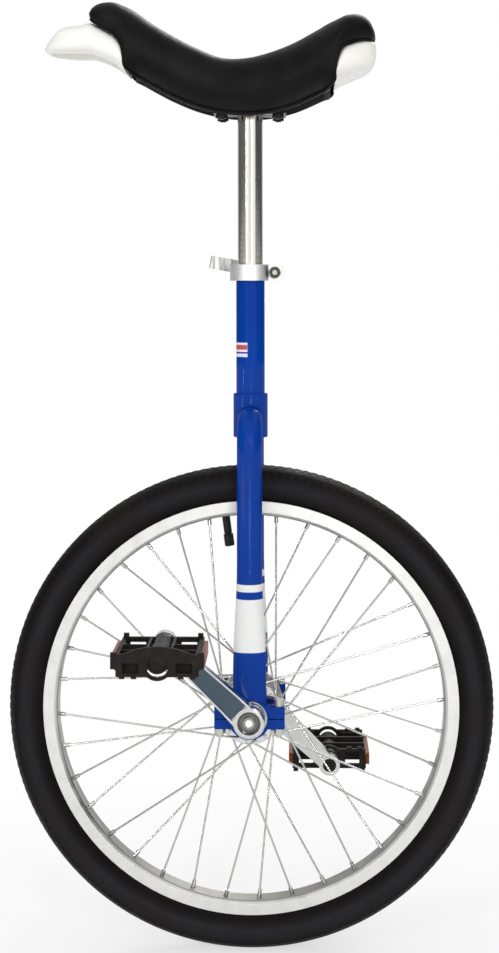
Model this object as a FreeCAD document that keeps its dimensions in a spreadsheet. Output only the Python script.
import FreeCAD, Part
import math
import os
import re
import Sketcher

Vector = FreeCAD.Vector
Rotation = FreeCAD.Rotation
Placement = FreeCAD.Placement

# A 20 inch unicycle. X points forward, Y to the rider's left, Z up.
# The origin is where the tyre touches the ground, under the axle. Sizes are in millimetres.

X_AXIS = Vector(1, 0, 0)
Y_AXIS = Vector(0, 1, 0)
Z_AXIS = Vector(0, 0, 1)
SIDES = {"left": 1, "right": -1}

# ---------------------------------------------------------------- driving dimensions
DIMENSIONS = {
    # wheel
    "wheel_turn": 7.4,            # degrees that the valve stands ahead of the top
    "tyre_height": 35.5,
    "tyre_half_width": 23.5,
    "tyre_wall": 3.2,
    "rim_radius": 209,
    "rim_depth": 14.3,
    "rim_half_width": 12.75,
    "rim_wall": 1.6,
    "tape_thickness": 0.8,
    "tube_wall": 1.2,
    "spoke_radius": 1,
    "spoke_count": 36,
    "spoke_crosses": 3,
    "nipple_radius": 2,
    "nipple_length": 9,
    "nipple_stagger": 2,
    "valve_radius": 4,
    "valve_length": 31,
    # hub and bearings
    "flange_offset": 30,
    "flange_thickness": 3,
    "flange_radius": 31.5,
    "spoke_circle": 27.5,
    "barrel_radius": 15,
    "axle_radius": 8.5,
    "bearing_offset": 50,
    "bearing_radius": 17.5,
    "bearing_width": 10,
    "ball_radius": 2.4,
    "ball_count": 10,
    "running_gap": 0.05,
    # frame
    "tube_radius": 14.3,
    "tube_thickness": 1.55,
    "tube_length": 173.2,
    "crown_gap": 28,              # from the tyre up to the crown
    "sleeve_wall": 2.95,
    "sleeve_height": 44,
    "leg_radius": 12.5,
    "leg_wall": 1.8,
    "leg_bend": 30,
    "leg_foot_half_width": 16.3,
    "leg_foot_half_thickness": 8,
    "housing_wall": 3,
    "housing_width": 14,
    "housing_ear": 17,
    "ear_height": 13,
    "split_gap": 1,
    "bolt_radius": 3,
    # seat clamp
    "collar_height": 16,
    "collar_wall": 6.2,
    "clamp_reach": 10.4,          # from the seat tube out to the skewer
    "clamp_gap": 2.4,
    "clamp_ear": 9,
    "lever_length": 66,
    "lever_tilt": 9.5,
    # cranks and pedals
    "crank_length": 114,
    "crank_angle": 45,
    "crank_face": 76,
    "crank_depth": 17,
    "crank_offset": 12,
    "boss_radius": 15.6,
    "eye_radius": 11,
    "pedal_inner": 95,
    "pedal_width": 86,
    "pedal_half_length": 38,
    "pedal_rise": 8,
    "pedal_drop": 14.5,
    "pedal_barrel": 10.2,
    "pedal_crown": 73,            # how gently the outer plate's top is curved
    "spindle_radius": 5,
    # seat
    "post_grip": 142.6,           # how far the post goes down into the seat tube
    "post_thickness": 1.7,
    "seat_rise": 150.8,           # from the seat tube's top up to the saddle
    "saddle_pad": 57,
    "cover_thickness": 2,
    "pan_wall": 4,
    "pan_rise": 8,
    "skirt_depth": 6.3,
    "bracket_thickness": 3.4,
}

# Sizes and places that follow from the driving dimensions.
FOLLOWING = {
    "axle_height": "rim_radius + tyre_height",
    "ball_pitch": "(axle_radius + bearing_radius) / 2 - 0.25",
    "inner_race_edge": "ball_pitch - ball_radius + 0.65",
    "outer_race_edge": "ball_pitch + ball_radius - 0.55",
    "sleeve_radius": "tube_radius + sleeve_wall",
    "sleeve_bottom": "2 * axle_height + crown_gap",
    "tube_top": "sleeve_bottom + tube_length",
    "ear_reach": "bearing_radius + housing_ear",
    "skewer_place": "tube_radius + clamp_reach",
    "saddle_height": "tube_top + seat_rise",
    "post_top": "saddle_height + 2 - bracket_thickness",
    "post_length": "post_top - tube_top + post_grip",
}

document = FreeCAD.newDocument("unicycle")
sheet = document.addObject("Spreadsheet::Sheet", "Sizes")
for row, (alias, value) in enumerate(DIMENSIONS.items(), start=1):
    sheet.set("A%d" % row, alias)
    sheet.set("B%d" % row, str(value))
    sheet.setAlias("B%d" % row, alias)
document.recompute()


def formula(text):
    """Point each dimension's name in the text at its cell, and write out each size that follows from them."""
    def reference(word):
        if word[0] in FOLLOWING:
            return "(%s)" % formula(FOLLOWING[word[0]])
        return "Sizes." + word[0] if word[0] in DIMENSIONS else word[0]
    return re.sub(r"[a-z_]+", reference, str(text))


def number(text):
    """What a formula comes to."""
    result = sheet.evalExpression(formula(text).replace("Sizes.", ""))
    return float(getattr(result, "Value", result))


def size(name):
    """The number that the sheet holds, or that follows from it."""
    return number(name) if name in FOLLOWING else float(sheet.get(name))


def bind(item, **formulas):
    for name, text in formulas.items():
        item.setExpression(name, formula(text))
    return item


def place(item, x=0, y=0, z=0):
    for axis, text in zip("xyz", (x, y, z)):
        item.setExpression("Placement.Base." + axis, formula(text))
    return item


# ---------------------------------------------------------------- how pieces are made
nodes = []


def keep(item, label):
    """Make the item a named sub-part of the unicycle."""
    item.Label = label
    nodes.append(item)
    return item


def box(x, y, z, length, width, height):
    item = document.addObject("Part::Box", "box")
    bind(item, Length=length, Width=width, Height=height)
    return place(item, x, y, z)


def cylinder(radius, start, length, axis="Y", x=0, y=0, z=0):
    """A cylinder along an axis; start is measured along that axis from the given point."""
    item = document.addObject("Part::Cylinder", "cylinder")
    bind(item, Radius=radius, Height=length)
    turn = {"X": Rotation(Z_AXIS, X_AXIS), "Y": Rotation(Z_AXIS, Y_AXIS), "Z": Rotation()}[axis]
    item.Placement = Placement(Vector(), turn)
    spot = {"X": x, "Y": y, "Z": z}
    spot[axis] = "%s + %s" % (spot[axis], start)
    return place(item, spot["X"], spot["Y"], spot["Z"])


def fuse(*pieces):
    item = document.addObject("Part::MultiFuse", "fuse")
    item.Shapes = list(pieces)
    item.Refine = True
    return item


def cut(base, *tools):
    item = document.addObject("Part::Cut", "cut")
    item.Base = base
    item.Tool = tools[0] if len(tools) == 1 else fuse(*tools)
    item.Refine = True
    return item


def common(*pieces):
    item = document.addObject("Part::MultiCommon", "common")
    item.Shapes = list(pieces)
    return item


def piece(label, shape):
    """A sub-part whose shape is worked out from the sheet in code."""
    item = document.addObject("Part::Feature", "piece")
    item.Shape = shape
    return keep(item, label)


def group(items):
    item = document.addObject("Part::Compound", "group")
    item.Links = items
    return item


def new_body():
    return document.addObject("PartDesign::Body", "body")


def outline(body, plane, points, offset=0):
    """A closed outline of straight runs, each corner bound to two formulas."""
    sketch = body.newObject("Sketcher::SketchObject", "sketch")
    support = [feature for feature in body.Origin.OriginFeatures if feature.Role == plane][0]
    sketch.AttachmentSupport = [(support, "")]
    sketch.MapMode = "FlatFace"
    sketch.setExpression("AttachmentOffset.Base.z", formula(offset))
    corners = [(number(across), number(up)) for across, up in points]
    for first, second in zip(corners, corners[1:] + corners[:1]):
        sketch.addGeometry(Part.LineSegment(Vector(*first, 0), Vector(*second, 0)), False)
    for index in range(len(points)):
        after = (index + 1) % len(points)
        sketch.addConstraint(Sketcher.Constraint("Coincident", index, 2, after, 1))
    for index, texts in enumerate(points):
        for kind, text, value in zip(("DistanceX", "DistanceY"), texts, corners[index]):
            held = sketch.addConstraint(Sketcher.Constraint(kind, -1, 1, index, 1, value))
            sketch.setExpression("Constraints[%d]" % held, formula(text))
    return sketch


def turned(points):
    """A ring turned about the Y axis from (radius, distance along the axis) corners."""
    body = new_body()
    profile = outline(body, "XY_Plane", points)
    ring = body.newObject("PartDesign::Revolution", "revolution")
    ring.Profile = profile
    ring.ReferenceAxis = (profile, ["V_Axis"])
    ring.Angle = 360
    return body


def about_axle(shape, degrees):
    """Turn a wheel's shape about the axle and lift it to the axle's height."""
    turned_shape = shape.copy()
    turned_shape.rotate(Vector(), Y_AXIS, degrees)
    turned_shape.translate(Vector(0, 0, size("axle_height")))
    return turned_shape


def rod(start, end, radius):
    return Part.makeCylinder(radius, (end - start).Length, start, end - start)


def around(radius, height, degrees):
    """A point at a radius from the axle, the angle counted from the top towards the front."""
    angle = math.radians(degrees)
    return Vector(radius * math.sin(angle), height, radius * math.cos(angle))


# ---------------------------------------------------------------- wheel
def make_rim():
    bed = "rim_radius - rim_depth"
    half = "rim_half_width"
    inner = "rim_half_width - rim_wall"
    side = [
        ("rim_radius", half), ("rim_radius - 11", half), (bed, half + " - 3"),
        (bed, "3 - " + half), ("rim_radius - 11", "-" + half), ("rim_radius", "-" + half),
        ("rim_radius", "rim_wall - " + half), ("rim_radius - 6", "rim_wall - " + half),
        ("rim_radius - 6", "4 - " + half), (bed + " + rim_wall", "5 - " + half),
        (bed + " + rim_wall", half + " - 5"), ("rim_radius - 6", half + " - 4"),
        ("rim_radius - 6", inner), ("rim_radius", inner),
    ]
    ring = turned(side)
    document.recompute()
    holes = [nipple_hole(index) for index in range(int(size("spoke_count")))]
    valve = Part.makeCylinder(size("valve_radius") + 0.3, size("rim_radius"), Vector(), Z_AXIS)
    drilled = ring.Shape.cut(Part.makeCompound(holes + [valve]))
    piece("rim", about_axle(drilled, size("wheel_turn")))


def spoke_face(leading):
    """How far a spoke's middle lies from the flange's middle; an outer one also has to clear the flange's edge."""
    return size("flange_thickness") / 2 + size("spoke_radius") + (1.4 if leading > 0 else 0.1)


def spoke_ends(index):
    """Where spoke number index leaves its flange and where it meets the rim."""
    pitch = 360 / size("spoke_count")
    side = 1 if index % 2 == 0 else -1
    leading = 1 if (index // 2) % 2 == 0 else -1
    rim_angle = (index + 0.5) * pitch
    hub_angle = rim_angle + leading * 2 * pitch * size("spoke_crosses")
    height = side * (size("flange_offset") + leading * spoke_face(leading))
    hub = around(size("spoke_circle"), height, hub_angle)
    rim = around(size("rim_radius") - size("rim_depth"), side * size("nipple_stagger"), rim_angle)
    return hub, rim, side, leading


def nipple_hole(index):
    hub, rim, side, leading = spoke_ends(index)
    direction = (rim - hub).normalize()
    return rod(rim - direction * 6, rim + direction * 6, size("nipple_radius") + 0.4)


def make_spokes():
    radius = size("spoke_radius")
    families = {}
    nipples = []
    for index in range(int(size("spoke_count"))):
        hub, rim, side, leading = spoke_ends(index)
        direction = (rim - hub).normalize()
        end = rim + direction * 2.2
        # The bent end goes through the flange to a head on its other face.
        through = Vector(0, -side * leading, 0)
        reach = spoke_face(leading) + spoke_face(-1)
        elbow = hub + through * reach
        wire = rod(hub, end, radius).fuse([
            Part.makeSphere(radius, hub), rod(hub, elbow, radius),
            Part.makeCone(radius, radius * 1.9, radius * 1.2, elbow - through * radius, through)])
        families.setdefault((side, leading), []).append(about_axle(wire, size("wheel_turn")))
        shank = rod(rim - direction * (size("nipple_length") - 2), rim + direction * 2, size("nipple_radius"))
        head = Part.makeCone(size("nipple_radius"), 3, 1, rim + direction * 2, direction)
        rest = rod(rim + direction * 3, rim + direction * 3.6, 3)
        bore = rod(rim - direction * 20, rim + direction * 20, radius + 0.05)
        nipple = shank.fuse([head, rest]).cut(bore)
        nipples.append(about_axle(nipple, size("wheel_turn")))
    for (side, leading), wires in families.items():
        hand = "left" if side > 0 else "right"
        name = "outer" if leading > 0 else "inner"
        piece("spokes_%s_%s" % (hand, name), Part.makeCompound(wires))
    piece("spoke_nipples", Part.makeCompound(nipples))


def inset_loop(edge, bottom, inset, count=12):
    """A closed section that keeps the inset inside an open curve, and inside the bottom radius between its ends."""
    curve = edge.Curve
    points = [Vector(bottom + inset, 0, 0)]
    for index in range(1, count):
        along = curve.FirstParameter + (curve.LastParameter - curve.FirstParameter) * index / count
        tangent = curve.tangent(along)[0]
        points.append(curve.value(along) + Vector(tangent.y, -tangent.x, 0) * inset)
    spline = Part.BSplineCurve()
    spline.interpolate(points, PeriodicFlag=True)
    return Part.Face(Part.Wire(spline.toShape()))


def open_curve(points):
    """A smooth open curve through (radius, distance along the axle) points."""
    spline = Part.BSplineCurve()
    spline.interpolate([Vector(radius, across, 0) for radius, across in points])
    return spline.toShape()


def make_tyre():
    """The casing, and the tube in it."""
    rim, half, wall = size("rim_radius"), size("tyre_half_width"), size("tyre_wall")
    top = rim + size("tyre_height")
    middle = (rim + top) / 2
    bead = size("rim_half_width") - size("rim_wall") - 0.1
    toe, shoulder = rim - 5.7, half * 0.8
    outer = open_curve([
        (toe, bead), (rim + 1.5, bead + 0.6), (middle - 2, half), (top - 7, shoulder), (top, 0),
        (top - 7, -shoulder), (middle - 2, -half), (rim + 1.5, -bead - 0.6), (toe, -bead)])
    inner = open_curve([
        (toe, bead - wall), (rim + 3, bead - wall + 1), (middle - 1, half - wall),
        (top - 7 - wall, shoulder - wall / 2), (top - wall - 1.5, 0), (top - 7 - wall, wall / 2 - shoulder),
        (middle - 1, wall - half), (rim + 3, wall - bead - 1), (toe, wall - bead)])
    sides = [Part.makeLine(outer.Vertexes[end].Point, inner.Vertexes[end].Point) for end in (0, -1)]
    section = Part.Face(Part.Wire(Part.__sortEdges__([outer, inner] + sides)))
    casing = section.revolve(Vector(), Y_AXIS, 360)
    piece("tyre", about_axle(casing, size("wheel_turn")))

    # The tube fills the casing, a little inside it all round.
    gap, bottom = 0.5, rim - 5.2
    outside, inside = [inset_loop(inner, bottom, inset).revolve(Vector(), Y_AXIS, 360)
                       for inset in (gap, gap + size("tube_wall"))]
    piece("inner_tube", about_axle(outside.cut(inside), size("wheel_turn")))


def make_tape():
    low = "rim_radius - rim_depth + rim_wall + 3.8"
    high = low + " + tape_thickness"
    ring = turned([(low, -6.8), (high, -6.8), (high, 6.8), (low, 6.8)])
    hole = cylinder("valve_radius + 0.3", 0, "rim_radius", "Z")
    document.recompute()
    piece("rim_tape", about_axle(ring.Shape.cut(hole.Shape), size("wheel_turn")))


def make_valve():
    rim_edge = size("rim_radius") - size("rim_depth")
    tip = rim_edge - size("valve_length")
    radius = size("valve_radius")
    stem = rod(Vector(0, 0, tip + 4), Vector(0, 0, size("rim_radius") - 5.7), radius - 0.8)
    collar = rod(Vector(0, 0, tip + 13), Vector(0, 0, size("rim_radius") - 5.7), radius)
    piece("valve_stem", about_axle(stem.fuse(collar).removeSplitter(), size("wheel_turn")))
    cap = rod(Vector(0, 0, tip), Vector(0, 0, tip + 12), radius + 0.9)
    cap = cap.makeFillet(1.2, [edge for edge in cap.Edges if abs(edge.BoundBox.ZMax - tip) < 0.01])
    cap = cap.cut(rod(Vector(0, 0, tip + 3.8), Vector(0, 0, tip + 13), radius - 0.75))
    piece("valve_cap", about_axle(cap, size("wheel_turn")))


def make_hub():
    flange = "flange_offset"
    half = "flange_thickness / 2"
    top = [("barrel_radius", "0"), ("barrel_radius", flange + " - 9"), ("barrel_radius + 7", flange + " - " + half),
           ("flange_radius - 0.8", flange + " - " + half), ("flange_radius", flange + " - " + half + " + 0.6"),
           ("flange_radius", flange + " + " + half + " - 0.6"), ("flange_radius - 1", flange + " + " + half),
           ("barrel_radius + 3", flange + " + " + half), ("barrel_radius - 2", flange + " + " + half + " + 4"),
           ("axle_radius", flange + " + " + half + " + 4")]
    mirrored = [(radius, "-(%s)" % along) for radius, along in reversed(top[1:])]
    shell = turned(top + mirrored)
    document.recompute()
    holes = []
    for index in range(int(size("spoke_count"))):
        hub, rim, side, leading = spoke_ends(index)
        reach = Vector(0, side * 6, 0)
        holes.append(rod(hub - reach, hub + reach, size("spoke_radius") + 0.15))
    piece("hub_shell", about_axle(shell.Shape.cut(Part.makeCompound(holes)), size("wheel_turn")))

    # One shaft right through, its ends squared for the cranks.
    radius, reach = size("axle_radius"), size("crank_face") - 7.5
    shaft = rod(Vector(0, -reach, 0), Vector(0, reach, 0), radius)
    start = size("bearing_offset") + size("bearing_width") / 2 + 1
    for side in SIDES.values():
        around_square = rod(Vector(0, side * start, 0), Vector(0, side * (reach + 1), 0), radius + 1)
        shaft = shaft.cut(around_square.cut(taper(side, start, reach + 2, 0)))
        thread = rod(Vector(0, side * (reach - 16), 0), Vector(0, side * (reach + 1), 0), 4)
        shaft = shaft.cut(thread)
    piece("hub_axle", about_axle(shaft, -size("crank_angle")))

    rings = []
    for side in SIDES.values():
        start = "flange_offset + flange_thickness / 2 + 4"
        length = "bearing_offset - bearing_width / 2 - (%s)" % start
        begin = start if side > 0 else "-(%s) - (%s)" % (start, length)
        rings.append(cut(cylinder("axle_radius + 3", begin, length, z="axle_height"),
                         cylinder("axle_radius", begin, length, z="axle_height")))
    keep(group(rings), "axle_spacers")


def taper(side, start, end, clearance):
    """The squared end of the axle, which narrows outwards."""
    def ring(along, half):
        corners = [Vector(half, side * along, half), Vector(-half, side * along, half),
                   Vector(-half, side * along, -half), Vector(half, side * along, -half)]
        return Part.makePolygon(corners + corners[:1])
    inner_half, slope = 6.9 + clearance, 0.035
    return Part.makeLoft([ring(start, inner_half), ring(end, inner_half - slope * (end - start))], True, True)


# ---------------------------------------------------------------- bearings
def make_bearings():
    half = "bearing_width / 2"
    for hand, side in SIDES.items():
        middle = "%d * bearing_offset" % side

        def ring(inner, outer, low, high):
            begin = "%s + %s" % (middle, low)
            length = "(%s) - (%s)" % (high, low)
            return cut(cylinder(outer, begin, length, z="axle_height"),
                       cylinder(inner, begin, length, z="axle_height"))

        def track():
            groove = document.addObject("Part::Torus", "groove")
            bind(groove, Radius1="ball_pitch", Radius2="ball_radius + running_gap")
            groove.Placement = Placement(Vector(), Rotation(Z_AXIS, Y_AXIS))
            return place(groove, 0, middle, "axle_height")

        outer = cut(ring("outer_race_edge", "bearing_radius", "-" + half, half), track())
        inner = cut(ring("axle_radius", "inner_race_edge", "-" + half, half), track())
        keep(outer, "bearing_outer_race_" + hand)
        keep(inner, "bearing_inner_race_" + hand)
        seals = [ring("inner_race_edge + 0.3", "outer_race_edge", low, high)
                 for low, high in (("-%s + 0.4" % half, "-%s + 1.2" % half), (half + " - 1.2", half + " - 0.4"))]
        keep(group(seals), "bearing_seals_" + hand)

        document.recompute()
        middle_point = Vector(0, side * size("bearing_offset"), 0)
        pitch_radius = size("ball_pitch")
        radius = size("ball_radius")
        count = int(size("ball_count"))
        spots = [around(pitch_radius, side * size("bearing_offset"), index * 360 / count) for index in range(count)]
        balls = [Part.makeSphere(radius, spot) for spot in spots]
        across = Vector(0, radius + 1.15, 0)
        band = rod(middle_point - across, middle_point + across, pitch_radius + 0.7)
        band = band.cut(rod(middle_point - across * 2, middle_point + across * 2, pitch_radius - 0.7))
        band = band.cut(Part.makeCompound([Part.makeSphere(radius + 0.1, spot) for spot in spots]))
        piece("bearing_balls_" + hand, Part.makeCompound([about_axle(shape, 0) for shape in balls + [band]]))


# ---------------------------------------------------------------- frame
def make_seat_tube():
    inner = "tube_radius - tube_thickness"
    length = "tube_top - sleeve_bottom"
    wall = cut(cylinder("tube_radius", 0, length, "Z", z="sleeve_bottom"),
               cylinder(inner, -1, length + " + 2", "Z", z="sleeve_bottom"))
    slot = box("-tube_radius - 1", -1.2, "tube_top - 36", "tube_radius", 2.4, 40)
    slot_end = cylinder(2.4, "-tube_radius - 1", "tube_radius", "X", z="tube_top - 36")
    keep(cut(wall, slot, slot_end), "seat_tube")


def oval(centre, across, half_length, half_thickness):
    """An oval section, long along X and thin along the given direction."""
    curve = Part.Ellipse(centre + X_AXIS * half_length, centre + across * half_thickness, centre)
    return Part.Wire(curve.toShape())


def eased(share):
    """A share from 0 to 1 that starts and ends gently."""
    share = min(max(share, 0), 1)
    return share * share * (3 - 2 * share)


def leg_solid(side, wall):
    """A fork leg thinned by wall: out from the crown, round the bend, and down to a flattened foot."""
    radius = size("leg_radius")
    bend = size("leg_bend")
    axle, foot = size("axle_height"), size("bearing_offset")
    top = size("sleeve_bottom") + size("sleeve_height") - 11 - radius
    corner = foot - 8
    barely_oval = 1.001
    # The hollow runs past the wall at both ends, so that it opens them.
    past = 3 if wall else 0
    start = Vector(0, side * ((corner - bend) / 2 - past), top)
    sections = [oval(start, Z_AXIS, (radius - wall) * barely_oval, radius - wall)]
    for turn in range(0, 91, 15):
        angle = math.radians(turn)
        across = Vector(0, side * math.sin(angle), math.cos(angle))
        centre = Vector(0, side * (corner - bend), top - bend) + across * bend
        sections.append(oval(centre, across, (radius - wall) * barely_oval, radius - wall))
    straight = top - bend - axle
    count = 14
    for index in range(1, count + 1):
        height = straight * (1 - index / count)
        lean = eased((straight - height) / (straight - 25))
        flat = eased((105 - height) / 75)
        wide = eased((150 - height) / 110)
        half_length = radius * barely_oval + (size("leg_foot_half_width") - radius) * wide - wall
        half_thickness = radius + (size("leg_foot_half_thickness") - radius) * flat - wall
        centre = Vector(0, side * (corner + (foot - corner) * lean), axle + height)
        if index == count:
            centre.z -= past
        sections.append(oval(centre, Vector(0, side, 0), half_length, half_thickness))
    return Part.makeLoft(sections, True, False)


def make_frame():
    make_seat_tube()
    sleeve = cut(cylinder("sleeve_radius", 0, "sleeve_height", "Z", z="sleeve_bottom"),
                 cylinder("tube_radius", -1, "sleeve_height + 2", "Z", z="sleeve_bottom"))
    document.recompute()
    edges = [edge for edge in sleeve.Shape.Edges if abs(edge.BoundBox.XMax - size("sleeve_radius")) < 0.01
             and edge.BoundBox.ZLength < 0.01]
    piece("crown_sleeve", sleeve.Shape.makeFillet(1.2, edges))

    axle = Vector(0, 0, size("axle_height"))
    seat = size("bearing_radius") + size("housing_wall")
    shell = rod(axle - Y_AXIS * 100, axle + Y_AXIS * 100, seat)
    crown = rod(Vector(0, 0, 300), Vector(0, 0, 700), size("sleeve_radius"))
    for hand, side in SIDES.items():
        solid = leg_solid(side, 0).cut(leg_solid(side, size("leg_wall")))
        piece("fork_leg_" + hand, solid.cut(shell).cut(crown).removeSplitter())


def make_housings():
    """Each bearing sits between a holder welded to its leg and a cap, drawn together by two bolts."""
    caps, bolts, nuts = [], [], []
    reach = "ear_reach"
    wide = "housing_width"
    for hand, side in SIDES.items():
        begin = "%d * bearing_offset - housing_width / 2" % side
        rim = fuse(cylinder("bearing_radius + housing_wall", begin, wide, z="axle_height"),
                   box("-" + reach, begin, "axle_height - ear_height + 3", "2 * ear_reach", wide, "2 * ear_height - 4"))
        bore = cylinder("bearing_radius", begin + " - 1", wide + " + 2", z="axle_height")
        drills = [cylinder("bolt_radius + 0.2", -40, 80, "Z", x="%d * (ear_reach - 5.5)" % end,
                           y="%d * bearing_offset" % side, z="axle_height") for end in (1, -1)]
        ring = cut(rim, bore, *drills)
        above = box("-60", begin + " - 1", "axle_height + split_gap / 2", 120, wide + " + 2", 60)
        below = box("-60", begin + " - 1", "axle_height - split_gap / 2 - 60", 120, wide + " + 2", 60)
        keep(common(ring, above), "bearing_holder_" + hand)
        keep(common(ring, below), "bearing_cap_" + hand)
        for end in (1, -1):
            x = "%d * (ear_reach - 5.5)" % end
            y = "%d * bearing_offset" % side
            top = "axle_height + ear_height - 1"
            bottom = "axle_height - ear_height + 3"
            bolts.append(fuse(
                cylinder("bolt_radius", 0, "2 * ear_height + 6", "Z", x, y, bottom + " - 9"),
                cylinder("bolt_radius * 2", 0, 1.2, "Z", x, y, top),
                cylinder("bolt_radius * 1.7", 0, 6.5, "Z", x, y, top)))
            nut = document.addObject("Part::Prism", "nut")
            nut.Polygon = 6
            bind(nut, Circumradius="bolt_radius * 1.85", Height=5.5)
            place(nut, x, y, bottom + " - 5.5")
            nuts.append(cut(nut, cylinder("bolt_radius + 0.03", -7, 9, "Z", x, y, bottom)))
    keep(group(bolts), "housing_bolts")
    keep(group(nuts), "housing_nuts")


# ---------------------------------------------------------------- seat clamp
def make_clamp():
    low = "tube_top - collar_height"
    band = "tube_radius + collar_wall"
    ears = box("-skewer_place - 7.3", "-clamp_ear", low, "skewer_place + 7.3", "2 * clamp_ear", "collar_height")
    block = fuse(cylinder(band, 0, "collar_height", "Z", z=low), ears)
    bore = cylinder("tube_radius", -1, "collar_height + 2", "Z", z=low)
    split = box("-skewer_place - 10", "-clamp_gap / 2", low + " - 1", "skewer_place + 10", "clamp_gap",
                "collar_height + 2")
    middle = "tube_top - collar_height / 2"
    hole = cylinder(2.8, -20, 40, "Y", x="-skewer_place", z=middle)
    collar = cut(block, bore, split, hole)
    document.recompute()
    corners = [edge for edge in collar.Shape.Edges if edge.BoundBox.XMax < 1 - size("skewer_place") - 7
               and edge.BoundBox.YLength > 1]
    piece("seat_clamp_collar", collar.Shape.makeFillet(2.6, corners))

    pin_side = "-clamp_ear - 8.6"
    tail = cylinder(2.5, pin_side, "2 * clamp_ear + 8.6 + 7", "Y", x="-skewer_place", z=middle)
    pin = cylinder(2.6, -6, 12, "Z", x="-skewer_place", y=pin_side, z=middle)
    document.recompute()
    cam_centre = Vector(-size("skewer_place"), -size("clamp_ear") - 8.6, size("tube_top") - size("collar_height") / 2)
    tilt = Rotation(Y_AXIS, -size("lever_tilt"))
    pin_shape = pin.Shape.copy()
    pin_shape.rotate(cam_centre, Y_AXIS, -size("lever_tilt"))
    piece("clamp_skewer", tail.Shape.fuse(pin_shape).removeSplitter())
    washer = cut(cylinder(6.1, "-clamp_ear - 2.1", 2, "Y", x="-skewer_place", z=middle),
                 cylinder(2.7, "-clamp_ear - 3", 4, "Y", x="-skewer_place", z=middle))
    keep(washer, "clamp_washer")
    # The round nut is cupped about the skewer's end.
    nut = cut(cylinder(5.8, "clamp_ear + 0.3", 5, "Y", x="-skewer_place", z=middle),
              cylinder(4.4, "clamp_ear + 2.8", 4, "Y", x="-skewer_place", z=middle),
              cylinder(2.53, "clamp_ear - 1", 9, "Y", x="-skewer_place", z=middle))
    keep(nut, "clamp_nut")

    # The lever's cam turns on the skewer's cross pin; its blade reaches forward beside the collar.
    cam = Part.makeCylinder(6.3, 13, Vector(0, 0, -6.5), Z_AXIS)
    length = size("lever_length")
    low = -6.5
    near, far = Part.BSplineCurve(), Part.BSplineCurve()
    near.interpolate([Vector(-2, -5.8, low), Vector(10, -6.6, low), Vector(26, -8.6, low), Vector(44, -8.4, low),
                      Vector(58, -4.6, low), Vector(length, -3.4, low)])
    far.interpolate([Vector(length + 1.2, -6.4, low), Vector(58, -8, low), Vector(44, -12, low),
                     Vector(26, -12.4, low), Vector(10, -10, low), Vector(-3, -6.1, low)])
    ends = [Part.makeLine(near.EndPoint, far.StartPoint), Part.makeLine(far.EndPoint, near.StartPoint)]
    outline_wire = Part.Wire([near.toShape(), ends[0], far.toShape(), ends[1]])
    blade = Part.Face(outline_wire).extrude(Vector(0, 0, 13))
    neck = Part.makeBox(9, 4, 13, Vector(-3, -9, -6.5))
    lever = cam.fuse([blade, neck])
    lever = lever.cut(Part.makeCylinder(2.65, 20, Vector(0, 0, -10), Z_AXIS))
    # The middle of the cam is open so that the lever can swing about the skewer's tail.
    slot = Part.makeBox(15, 19.8, 5.6, Vector(-12, -5.8, -2.8))
    lever = lever.cut(slot)
    lever = Part.Shape(lever)
    lever.Placement = Placement(cam_centre, tilt)
    piece("clamp_lever", lever)


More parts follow.
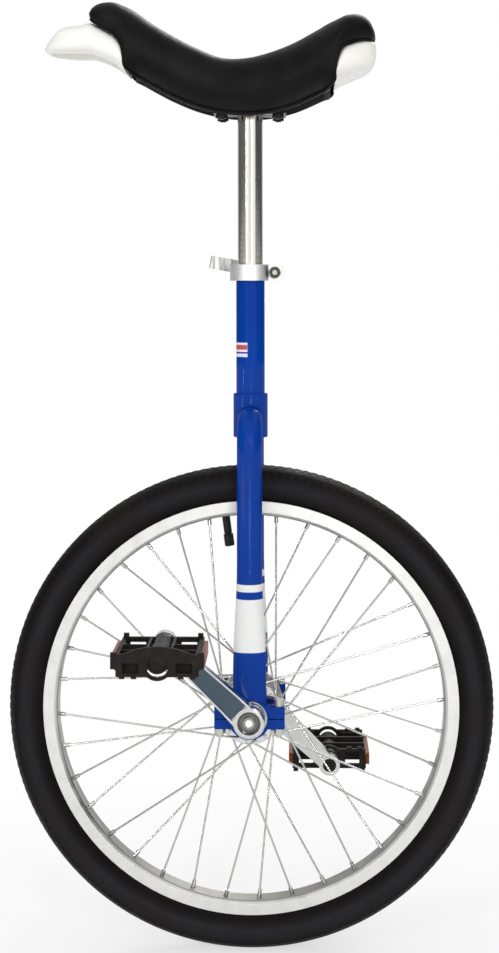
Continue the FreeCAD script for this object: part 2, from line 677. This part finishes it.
# ---------------------------------------------------------------- cranks and pedals
def make_crank(hand, side):
    """Seen from outside: a boss, a tapering arm with a sunk face, and an eye for the pedal."""
    face, depth, offset = size("crank_face"), size("crank_depth"), size("crank_offset")
    length, boss, eye = size("crank_length"), size("boss_radius"), size("eye_radius")
    back = face - depth
    front = face + offset

    def slab(points, low, high):
        """A prism between two heights from a top view of (along the arm, out from the wheel) corners."""
        corners = [Vector(along, out, low) for along, out in points]
        return Part.Face(Part.makePolygon(corners + corners[:1])).extrude(Vector(0, 0, high - low))

    arm_points = [Vector(0, back, 12.6), Vector(length, back, 8.2), Vector(length, back, -8.2), Vector(0, back, -12.6)]
    arm = Part.Face(Part.makePolygon(arm_points + arm_points[:1])).extrude(Vector(0, front - back, 0))
    side_view = rod(Vector(0, back, 0), Vector(0, face, 0), boss)
    side_view = side_view.makeFillet(2.4, [edge for edge in side_view.Edges if edge.BoundBox.YMin > face - 0.1])
    profile = [(-boss - 1, back), (boss, back), (boss + 16, back + 5), (length - 16, face - 1), (length - 8, face),
               (length + eye + 1, face), (length + eye + 1, front), (length - 14, front), (boss + 10, face - 0.5),
               (boss - 2, face), (-boss - 1, face)]
    top_view = slab(profile, -20, 20)
    tip = rod(Vector(length, face, 0), Vector(length, front, 0), eye)
    body = arm.common(top_view).fuse([side_view, tip]).removeSplitter()
    # The outer face is sunk along the arm, with a thin raised rim left on each side.
    rim = 1.7
    channel = [(boss - 3, face - 3.2), (boss + 9, face - 2.6), (length - 15, front - 2), (length - 11, front + 0.1),
               (length - 11, front + 9), (boss - 3, front + 9)]
    inside = [Vector(boss - 3, 0, 12 - rim), Vector(length - 11, 0, 8.5 - rim),
              Vector(length - 11, 0, rim - 8.5), Vector(boss - 3, 0, rim - 12)]
    between_rims = Part.Face(Part.makePolygon(inside + inside[:1])).extrude(Vector(0, front + 10, 0))
    boss_rod = rod(Vector(0, back, 0), Vector(0, face + 1, 0), boss - 0.6)
    body = body.cut(slab(channel, -20, 20).common(between_rims).cut(boss_rod))
    body = body.cut(taper(1, back - 1, face + 4, 0.02))
    body = body.cut(rod(Vector(0, face - 7, 0), Vector(0, face + 5, 0), 11.2))
    body = body.cut(rod(Vector(length, face - 5, 0), Vector(length, front + 5, 0), 7))
    turn = -size("crank_angle")
    if side < 0:
        body.rotate(Vector(), Z_AXIS, 180)
    piece("crank_" + hand, about_axle(body, turn))

    bolt = rod(Vector(0, face - 19, 0), Vector(0, face - 5, 0), 3.95).fuse([
        rod(Vector(0, face - 7, 0), Vector(0, face - 5, 0), 9.2),
        rod(Vector(0, face - 5, 0), Vector(0, face - 1, 0), 6)])
    socket = Part.Face(Part.makePolygon([around(3.5, face - 4, 60 * corner) for corner in range(7)]))
    bolt = bolt.cut(socket.extrude(Vector(0, 8, 0))).removeSplitter()
    if side < 0:
        bolt.rotate(Vector(), Z_AXIS, 180)
    piece("crank_bolt_" + hand, about_axle(bolt, turn))


def pedal_place(side):
    """Where a pedal's own frame sits: Y outwards, Z towards its tabbed face. The right one lies face down."""
    angle = math.radians(size("crank_angle"))
    centre = Vector(math.cos(angle), 0, math.sin(angle)) * (size("crank_length") * side)
    centre.z += size("axle_height")
    return Placement(centre, Rotation() if side > 0 else Rotation(X_AXIS, 180))


def make_pedal(hand, side):
    half = "pedal_half_length"
    start = "pedal_inner"
    wide = "pedal_width"
    tall = "pedal_rise + pedal_drop"
    parts = []
    outer_plate = "%s + %s - 4" % (start, wide)
    for near in (start, outer_plate):
        plate = box("-" + half, near, "-pedal_drop + 2", "2 * " + half, 4, tall + " - 2")
        arch = cylinder("pedal_barrel + 4", near, 4, z=-2)
        arch_side = common(arch, box("-" + half, near, "-pedal_drop - 10", "2 * " + half, 4, "pedal_drop + 10"))
        teeth = [box("%d * (%s - %s)" % (end, half, inset), near, "-pedal_drop", 5, 4, 3)
                 for end, inset in ((1, 8), (1, 19), (-1, 3), (-1, 14))]
        # Below the barrel a crescent is left open.
        holes = [common(cylinder("pedal_barrel", "%s - 1" % near, 6, z=-3),
                        box("-pedal_barrel", "%s - 1" % near, -20, "2 * pedal_barrel", 6, 14))]
        holes += [box(across, "%s - 1" % near, -9.2, 15, 6, 12.5) for across in (half + " - 21", "6 - " + half)]
        parts.append(cut(fuse(plate, arch_side, *teeth), *holes))
    # The outer plate rises to a low crown over the barrel, and cheeks on it shield the reflectors.
    crown = common(box("-" + half, outer_plate, 0, "2 * " + half, 4, "pedal_rise + 7"),
                   cylinder("pedal_crown", outer_plate, 4, z="pedal_rise + 7 - pedal_crown"))
    parts.append(crown)
    for end in (1, -1):
        parts.append(box(half + " - 1" if end > 0 else "-%s - 4.8" % half, outer_plate, -5.5, 5.8, 4, 15))
    for end in (1, -1):
        across = half + " - 3" if end > 0 else "-%s - 1" % half
        parts.append(box(across, start, -6.5, 4, wide, "pedal_rise + 6.5"))
        across = "pedal_barrel" if end > 0 else "-pedal_barrel - 2.6"
        parts.append(box(across, start, 0.5, 2.6, wide, "pedal_rise - 0.5"))
        across = half + " - 5" if end > 0 else "-%s" % half
        parts.append(box(across, start + " + 2", 3, 5, 5, "pedal_rise + 1"))
    for share in (0.32, 0.62):
        parts.append(box("-" + half, "%s + %s * %s" % (start, wide, share), -12, "2 * " + half, 3, "pedal_rise + 10"))
    parts.append(cylinder("pedal_barrel", start, wide + " - 1"))
    # Four small webs tie the barrel to the two end plates.
    for near in (start, "%s + %s - 4" % (start, wide)):
        parts.append(box("-pedal_barrel - 4", near, 0.5, "2 * (pedal_barrel + 4)", 4, 3))
    bore = cylinder("spindle_radius + 2.2", start + " - 1", wide + " + 2")
    mouth = cylinder("pedal_barrel - 1.8", "%s + %s - 10" % (start, wide), 12)
    body = cut(fuse(*parts), bore, mouth)
    cap = cylinder("pedal_barrel - 1.85", "%s + %s - 10" % (start, wide), 8)
    lenses = [box("%s + 1" % half if end > 0 else "-%s - 5" % half, start + " + 10", -5.5, 4, wide + " - 20", 11.5)
              for end in (1, -1)]
    document.recompute()
    spot = pedal_place(side)
    for label, item in (("pedal_body_", body), ("pedal_end_cap_", cap), ("pedal_reflectors_", group(lenses))):
        document.recompute()
        shape = Part.Shape(item.Shape)
        shape.Placement = spot.multiply(shape.Placement)
        piece(label + hand, shape)

    # The spindle: threaded into the crank's eye, a hexagon flange, a bearing seat at each end, and a lock nut.
    eye_face = size("crank_face") + size("crank_offset")
    end = size("pedal_inner") + size("pedal_width") - 11
    radius = size("spindle_radius")
    gap = size("running_gap")
    inner = size("pedal_inner")
    spindle = rod(Vector(0, eye_face - 12, 0), Vector(0, eye_face + 0.5, 0), 6.95).fuse([
        rod(Vector(0, eye_face, 0), Vector(0, inner - 0.5, 0), 8.5),
        rod(Vector(0, inner - 0.5, 0), Vector(0, inner + 9, 0), radius + 2.2 - gap),
        rod(Vector(0, inner + 9, 0), Vector(0, end - 8, 0), radius),
        rod(Vector(0, end - 8, 0), Vector(0, end, 0), radius + 2.2 - gap)])
    for flat in (1, -1):
        spindle = spindle.cut(Part.makeBox(20, 5, 6, Vector(-10, eye_face + 1, 7.5 if flat > 0 else -13.5)))
    spindle = spindle.removeSplitter()
    spindle.Placement = spot
    piece("pedal_spindle_" + hand, spindle)


# ---------------------------------------------------------------- saddle and seat post
SADDLE_LOW = 0.0029               # how fast the lower edge climbs towards the front, per mm squared
SADDLE_LOW_REAR = 0.0036          # and towards the rear
FRONT_CUT = 122                   # the cover's side ends here; the front bumper begins
REAR_CUT = -83                    # and here the rear bumper begins


def lower_edge(x):
    """Height of the cover's lower edge."""
    base = size("saddle_height") - 1.5
    return base + (SADDLE_LOW if x > 0 else SADDLE_LOW_REAR) * x * x


def between(table, x):
    """Read a smooth value between stations."""
    for (x0, v0), (x1, v1) in zip(table, table[1:]):
        if x0 <= x <= x1:
            share = (x - x0) / (x1 - x0)
            return v0 + (v1 - v0) * share
    return table[0][1] if x < table[0][0] else table[-1][1]


# The pad's thickness over its lower edge, and the half width, at stations from rear to front.
DRAWN_PAD = 57                    # the pad thickness that the table is drawn for
PAD_RISE = [(-124.5, 24), (-122, 31), (-118, 44), (-109, 58), (-98, 65), (-85, 69), (-69, 69), (-49, 66), (-27, 62),
            (-4, 58), (14, 55), (32, 54), (54, 56), (76, 58), (99, 60), (121, 62.5), (135, 60.5), (144, 54.5),
            (153, 44), (158, 31)]
HALF_WIDTH = [(-124.5, 38), (-118, 52), (-105, 63), (-85, 70), (-60, 67), (-30, 55), (0, 47), (35, 44), (70, 46),
              (100, 50), (125, 52), (145, 48), (158, 38)]


def pad_top(x):
    return lower_edge(x) + between(PAD_RISE, x) * size("saddle_pad") / DRAWN_PAD


def cover_bottom(x):
    """The cover's lower edge, cut away in a curve over each bumper."""
    height = size("saddle_height")
    front = [(FRONT_CUT, lower_edge(FRONT_CUT) - height), (124, 62), (131, 73), (141, 79), (150, 85), (158, 97)]
    rear = [(-124.5, 68), (-121.7, 66.5), (-101, 63.4), (-90, 57), (-86, 48),
            (REAR_CUT, lower_edge(REAR_CUT) - height)]
    if x > FRONT_CUT:
        return height + between(front, x)
    if x < REAR_CUT:
        return height + between(rear, x)
    return lower_edge(x)


def section(x, low, high, half, crown=0.35):
    """A closed section across the saddle: flat below, crowned above."""
    rise = high - low
    shoulder = low + rise * (1 - crown)
    upper = Part.BSplineCurve()
    upper.interpolate([Vector(x, half * 0.95, low), Vector(x, half, low + rise * 0.35),
                       Vector(x, half * 0.88, shoulder), Vector(x, half * 0.5, high - rise * 0.06),
                       Vector(x, 0, high), Vector(x, -half * 0.5, high - rise * 0.06),
                       Vector(x, -half * 0.88, shoulder), Vector(x, -half, low + rise * 0.35),
                       Vector(x, -half * 0.95, low)])
    bottom = Part.makeLine(Vector(x, -half * 0.95, low), Vector(x, half * 0.95, low))
    return Part.Wire([upper.toShape(), bottom])


def stations(first, last, step=14):
    count = max(2, round((last - first) / step) + 1)
    return [first + (last - first) * index / (count - 1) for index in range(count)]


def ribbed(places, low, high, half, crown=0.35):
    """A solid through sections at each place, from functions of x."""
    return Part.makeLoft([section(x, low(x), high(x), half(x), crown) for x in places], True, True)


def half_width(x):
    return between(HALF_WIDTH, x)


def make_saddle():
    skin = size("cover_thickness")
    middle = stations(REAR_CUT + 0.5, FRONT_CUT - 0.5, 14)
    rear = [-124.5, -121.7, -117, -109, -101, -95, -90, -86]
    front = [124, 127.5, 131, 136, 141, 150, 155, 158]
    places = rear + middle + front
    outer = ribbed(places, cover_bottom, pad_top, half_width)
    inner_places = [x for x in places if -121.5 < x < 155]
    inner = ribbed(inner_places, cover_bottom, lambda x: pad_top(x) - skin, lambda x: half_width(x) - skin)
    piece("saddle_cover", outer.cut(inner))

    def pan_half(x):
        return (half_width(x) - skin) * 0.95 - 0.6

    def trough(first, last, low, high, half):
        """A solid of flat-sided sections from functions of x."""
        rings = []
        for x in stations(first, last):
            rings.append(Part.makePolygon([
                Vector(x, half(x), low(x)), Vector(x, half(x), high(x)), Vector(x, -half(x), high(x)),
                Vector(x, -half(x), low(x)), Vector(x, half(x), low(x))]))
        return Part.makeLoft(rings, True, True)

    def skirt(x):
        return lower_edge(x) - (3 if x > 95 else size("skirt_depth"))

    floor, wall, top = size("pan_wall"), size("pan_wall") - 0.5, size("pan_rise")
    pan = trough(REAR_CUT + 1, FRONT_CUT - 1, skirt, lambda x: lower_edge(x) + top, pan_half)
    hollow = trough(REAR_CUT + 5, FRONT_CUT - 5, lambda x: skirt(x) - 9, lambda x: lower_edge(x) + top - floor,
                    lambda x: pan_half(x) - wall)
    # A flat seat for the post's bracket is left in the pan's curved floor.
    seat = Part.makeBox(84, 60, 20, Vector(-42, -30, size("saddle_height") + 2))
    piece("saddle_foam", inner.cut(pan))
    piece("saddle_base", pan.cut(hollow.cut(seat)).cut(stud_holes()))


def stud_spots():
    return [(x, y) for x in (28, -28) for y in (16, -16)]


def stud_holes():
    low = size("saddle_height") + 1
    return Part.makeCompound([Part.makeCylinder(3.03, 5.1, Vector(x, y, low)) for x, y in stud_spots()])


def above_saddle(table, gap=0):
    """A height that a table gives over the saddle's lowest point, as a function of x."""
    return lambda x: size("saddle_height") + between(table, x) - gap


def make_bumpers():
    """The moulded ends: a front one with a finger recess under its handle, and a plain rear one."""
    gap = 0.4
    top = [(FRONT_CUT + 0.6, 40), (124, 62), (131, 73), (141, 79), (150, 85), (157, 92.5), (166, 89.5), (182, 89),
           (190, 85), (198, 77), (205, 65)]
    low = [(FRONT_CUT, 36.5), (144, 47.7), (155, 53), (175, 52.7), (195, 55), (203, 61), (205, 63)]
    wide = [(FRONT_CUT, 50), (140, 48), (160, 46), (182, 42), (195, 34), (203, 22), (205, 14)]
    places = [FRONT_CUT + 0.6, 124, 131, 141, 150, 157, 166, 175, 182, 190, 198, 203, 205]
    outer = ribbed(places, above_saddle(low), above_saddle(top, gap), lambda x: between(wide, x), 0.3)
    recess_places = [140, 150, 157, 166, 175, 182, 190, 194]
    recess = ribbed(recess_places, above_saddle(low, 20), above_saddle(top, 4.5), lambda x: between(wide, x) - 5, 0.3)
    piece("saddle_front_bumper", outer.cut(recess))

    top = [(-125, 59), (-122, 66), (-101, 63), (-90, 56.5), (-86, 47), (REAR_CUT - 0.6, 23)]
    low = [(-125, 55), (-124, 43), (-118.5, 36.5), (-101, 29), (REAR_CUT, 21)]
    wide = [(-125, 36), (-118, 51), (-105, 62), (-85, 69)]
    places = [-124.8, -124, -121.7, -117, -109, -101, -95, -90, -86, REAR_CUT - 0.6]
    outer = ribbed(places, above_saddle(low), above_saddle(top, gap), lambda x: between(wide, x), 0.3)
    piece("saddle_rear_bumper", outer)


def make_post():
    outer = "tube_radius - tube_thickness - running_gap"
    top = "post_top"
    post = cut(cylinder(outer, "-post_length", "post_length", "Z", z=top),
               cylinder(outer + " - post_thickness", "-post_length - 1", "post_length + 2", "Z", z=top))
    keep(post, "seat_post")
    plate = box(-36, -24, top, 72, 48, "bracket_thickness")
    drills, studs, nuts = [], [], []
    for x, y in stud_spots():
        drills.append(cylinder(3.3, -5, 12, "Z", x, y, top))
        studs.append(cylinder(3, -5, "bracket_thickness + 9", "Z", x, y, top))
        nut = document.addObject("Part::Prism", "nut")
        nut.Polygon = 6
        bind(nut, Circumradius=5.6, Height=4)
        place(nut, x, y, top + " - 4")
        nuts.append(cut(nut, cylinder(3.03, -7, 9, "Z", x, y, top)))
    keep(cut(plate, *drills), "seat_post_bracket")
    keep(group(studs), "saddle_studs")
    keep(group(nuts), "saddle_nuts")


make_rim()
make_spokes()
make_tyre()
make_tape()
make_valve()
make_hub()
make_bearings()
make_frame()
make_housings()
make_clamp()
for hand, side in SIDES.items():
    make_crank(hand, side)
    make_pedal(hand, side)
make_saddle()
make_bumpers()
make_post()
document.recompute()

# ---------------------------------------------------------------- checks and files
for item in document.Objects:
    if "Invalid" in item.State or "Error" in item.State:
        raise RuntimeError("%s (%s) failed: %s" % (item.Label, item.Name, item.State))
os.makedirs("parts", exist_ok=True)
for item in nodes:
    if item.Shape.isNull() or not item.Shape.isValid():
        raise RuntimeError("%s has a broken shape" % item.Label)
for item in nodes:
    item.Shape.exportStep("parts/%s.step" % item.Label)
    print("%-26s %2d solids %10.1f mm3" % (item.Label, len(item.Shape.Solids), item.Shape.Volume))
